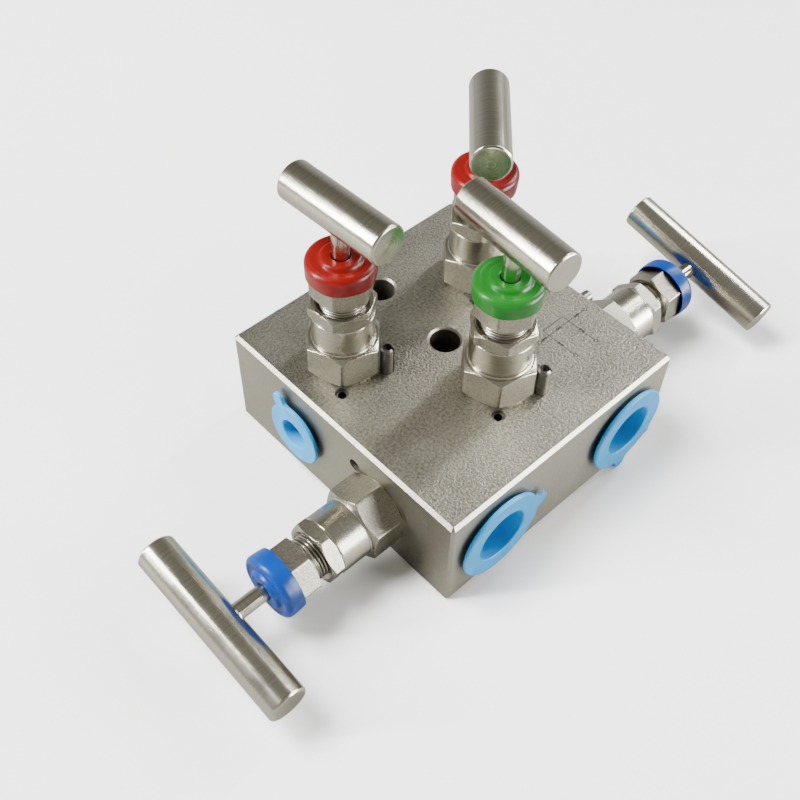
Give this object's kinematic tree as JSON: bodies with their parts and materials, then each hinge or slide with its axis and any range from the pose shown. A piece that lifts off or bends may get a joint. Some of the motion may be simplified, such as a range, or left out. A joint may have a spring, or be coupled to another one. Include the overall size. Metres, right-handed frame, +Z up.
{
  "type": "instrument valve manifold",
  "caption": "Square stainless steel manifold block with capped pipe ports and hand-turned needle valves with T-bar handles and coloured dust caps.",
  "frame": {"origin": "centre of the block's underside, level with the surface that the block stands on", "axes": "+X from the high-pressure side to the low-pressure side, along the two side valves; +Y from the process ports to the instrument ports; +Z up, along the three top valves"},
  "size_m": [0.2125, 0.097, 0.0972],
  "materials": {
    "block_steel": "fine blasted stainless steel",
    "turned_steel": "machined stainless steel",
    "polished_steel": "ground and polished stainless steel",
    "handle_steel": "bright drawn stainless bar",
    "pin_steel": "dark spring steel",
    "ptfe": "white PTFE",
    "port_cap_plastic": "soft light blue polyethylene",
    "blue_cap": "glossy blue moulding",
    "green_cap": "glossy green moulding",
    "red_cap": "glossy red moulding"
  },
  "bodies": {
    "manifold": {"manifold_block": "block_steel", "lock_pins": "pin_steel", "bonnet_seals": "ptfe", "process_cap_high": "port_cap_plastic", "process_cap_low": "port_cap_plastic", "instrument_cap_high": "port_cap_plastic", "instrument_cap_low": "port_cap_plastic", "vent_cap_high": "port_cap_plastic", "vent_cap_low": "port_cap_plastic", "high_block_bonnet": "turned_steel", "high_block_lock_nut": "turned_steel", "high_block_gland_screw": "turned_steel", "high_block_packing": "ptfe", "high_block_thrust_ring": "turned_steel", "high_block_dust_cap": "blue_cap", "low_block_bonnet": "turned_steel", "low_block_lock_nut": "turned_steel", "low_block_gland_screw": "turned_steel", "low_block_packing": "ptfe", "low_block_thrust_ring": "turned_steel", "low_block_dust_cap": "blue_cap", "equalizer_bonnet": "turned_steel", "equalizer_lock_nut": "turned_steel", "equalizer_gland_screw": "turned_steel", "equalizer_packing": "ptfe", "equalizer_thrust_ring": "turned_steel", "equalizer_dust_cap": "green_cap", "high_vent_bonnet": "turned_steel", "high_vent_lock_nut": "turned_steel", "high_vent_gland_screw": "turned_steel", "high_vent_packing": "ptfe", "high_vent_thrust_ring": "turned_steel", "high_vent_dust_cap": "red_cap", "low_vent_bonnet": "turned_steel", "low_vent_lock_nut": "turned_steel", "low_vent_gland_screw": "turned_steel", "low_vent_packing": "ptfe", "low_vent_thrust_ring": "turned_steel", "low_vent_dust_cap": "red_cap"},
    "high_block_needle_body": {"high_block_needle": "polished_steel"},
    "high_block_spindle_body": {"high_block_spindle": "polished_steel", "high_block_handle": "handle_steel"},
    "low_block_needle_body": {"low_block_needle": "polished_steel"},
    "low_block_spindle_body": {"low_block_spindle": "polished_steel", "low_block_handle": "handle_steel"},
    "equalizer_needle_body": {"equalizer_needle": "polished_steel"},
    "equalizer_spindle_body": {"equalizer_spindle": "polished_steel", "equalizer_handle": "handle_steel"},
    "high_vent_needle_body": {"high_vent_needle": "polished_steel"},
    "high_vent_spindle_body": {"high_vent_spindle": "polished_steel", "high_vent_handle": "handle_steel"},
    "low_vent_needle_body": {"low_vent_needle": "polished_steel"},
    "low_vent_spindle_body": {"low_vent_spindle": "polished_steel", "low_vent_handle": "handle_steel"}
  },
  "joints": [
    {"name": "high_block_lift", "type": "slide", "parent": "manifold", "child": "high_block_needle_body", "axis": [-1, 0, 0], "range_m": [0, 0.00401]},
    {"name": "high_block_turn", "type": "hinge", "parent": "high_block_needle_body", "child": "high_block_spindle_body", "pos_m": [-0.045, -0.018, 0.018], "axis": [-1, 0, 0], "range_deg": [0, 1440]},
    {"name": "low_block_lift", "type": "slide", "parent": "manifold", "child": "low_block_needle_body", "axis": [1, 0, 0], "range_m": [0, 0.00401]},
    {"name": "low_block_turn", "type": "hinge", "parent": "low_block_needle_body", "child": "low_block_spindle_body", "pos_m": [0.045, -0.018, 0.018], "axis": [1, 0, 0], "range_deg": [0, 1440]},
    {"name": "equalizer_lift", "type": "slide", "parent": "manifold", "child": "equalizer_needle_body", "axis": [0, 0, 1], "range_m": [0, 0.00401]},
    {"name": "equalizer_turn", "type": "hinge", "parent": "equalizer_needle_body", "child": "equalizer_spindle_body", "pos_m": [0, -0.018, 0.036], "axis": [0, 0, 1], "range_deg": [0, 1440]},
    {"name": "high_vent_lift", "type": "slide", "parent": "manifold", "child": "high_vent_needle_body", "axis": [0, 0, 1], "range_m": [0, 0.00401]},
    {"name": "high_vent_turn", "type": "hinge", "parent": "high_vent_needle_body", "child": "high_vent_spindle_body", "pos_m": [-0.027, 0.017, 0.036], "axis": [0, 0, 1], "range_deg": [0, 1440]},
    {"name": "low_vent_lift", "type": "slide", "parent": "manifold", "child": "low_vent_needle_body", "axis": [0, 0, 1], "range_m": [0, 0.00401]},
    {"name": "low_vent_turn", "type": "hinge", "parent": "low_vent_needle_body", "child": "low_vent_spindle_body", "pos_m": [0.027, 0.017, 0.036], "axis": [0, 0, 1], "range_deg": [0, 1440]}
  ],
  "couplings": [
    {"joint": "high_block_lift", "follows": "high_block_turn", "m_per_rad": 0.00015915},
    {"joint": "low_block_lift", "follows": "low_block_turn", "m_per_rad": 0.00015915},
    {"joint": "equalizer_lift", "follows": "equalizer_turn", "m_per_rad": 0.00015915},
    {"joint": "high_vent_lift", "follows": "high_vent_turn", "m_per_rad": 0.00015915},
    {"joint": "low_vent_lift", "follows": "low_vent_turn", "m_per_rad": 0.00015915}
  ]
}
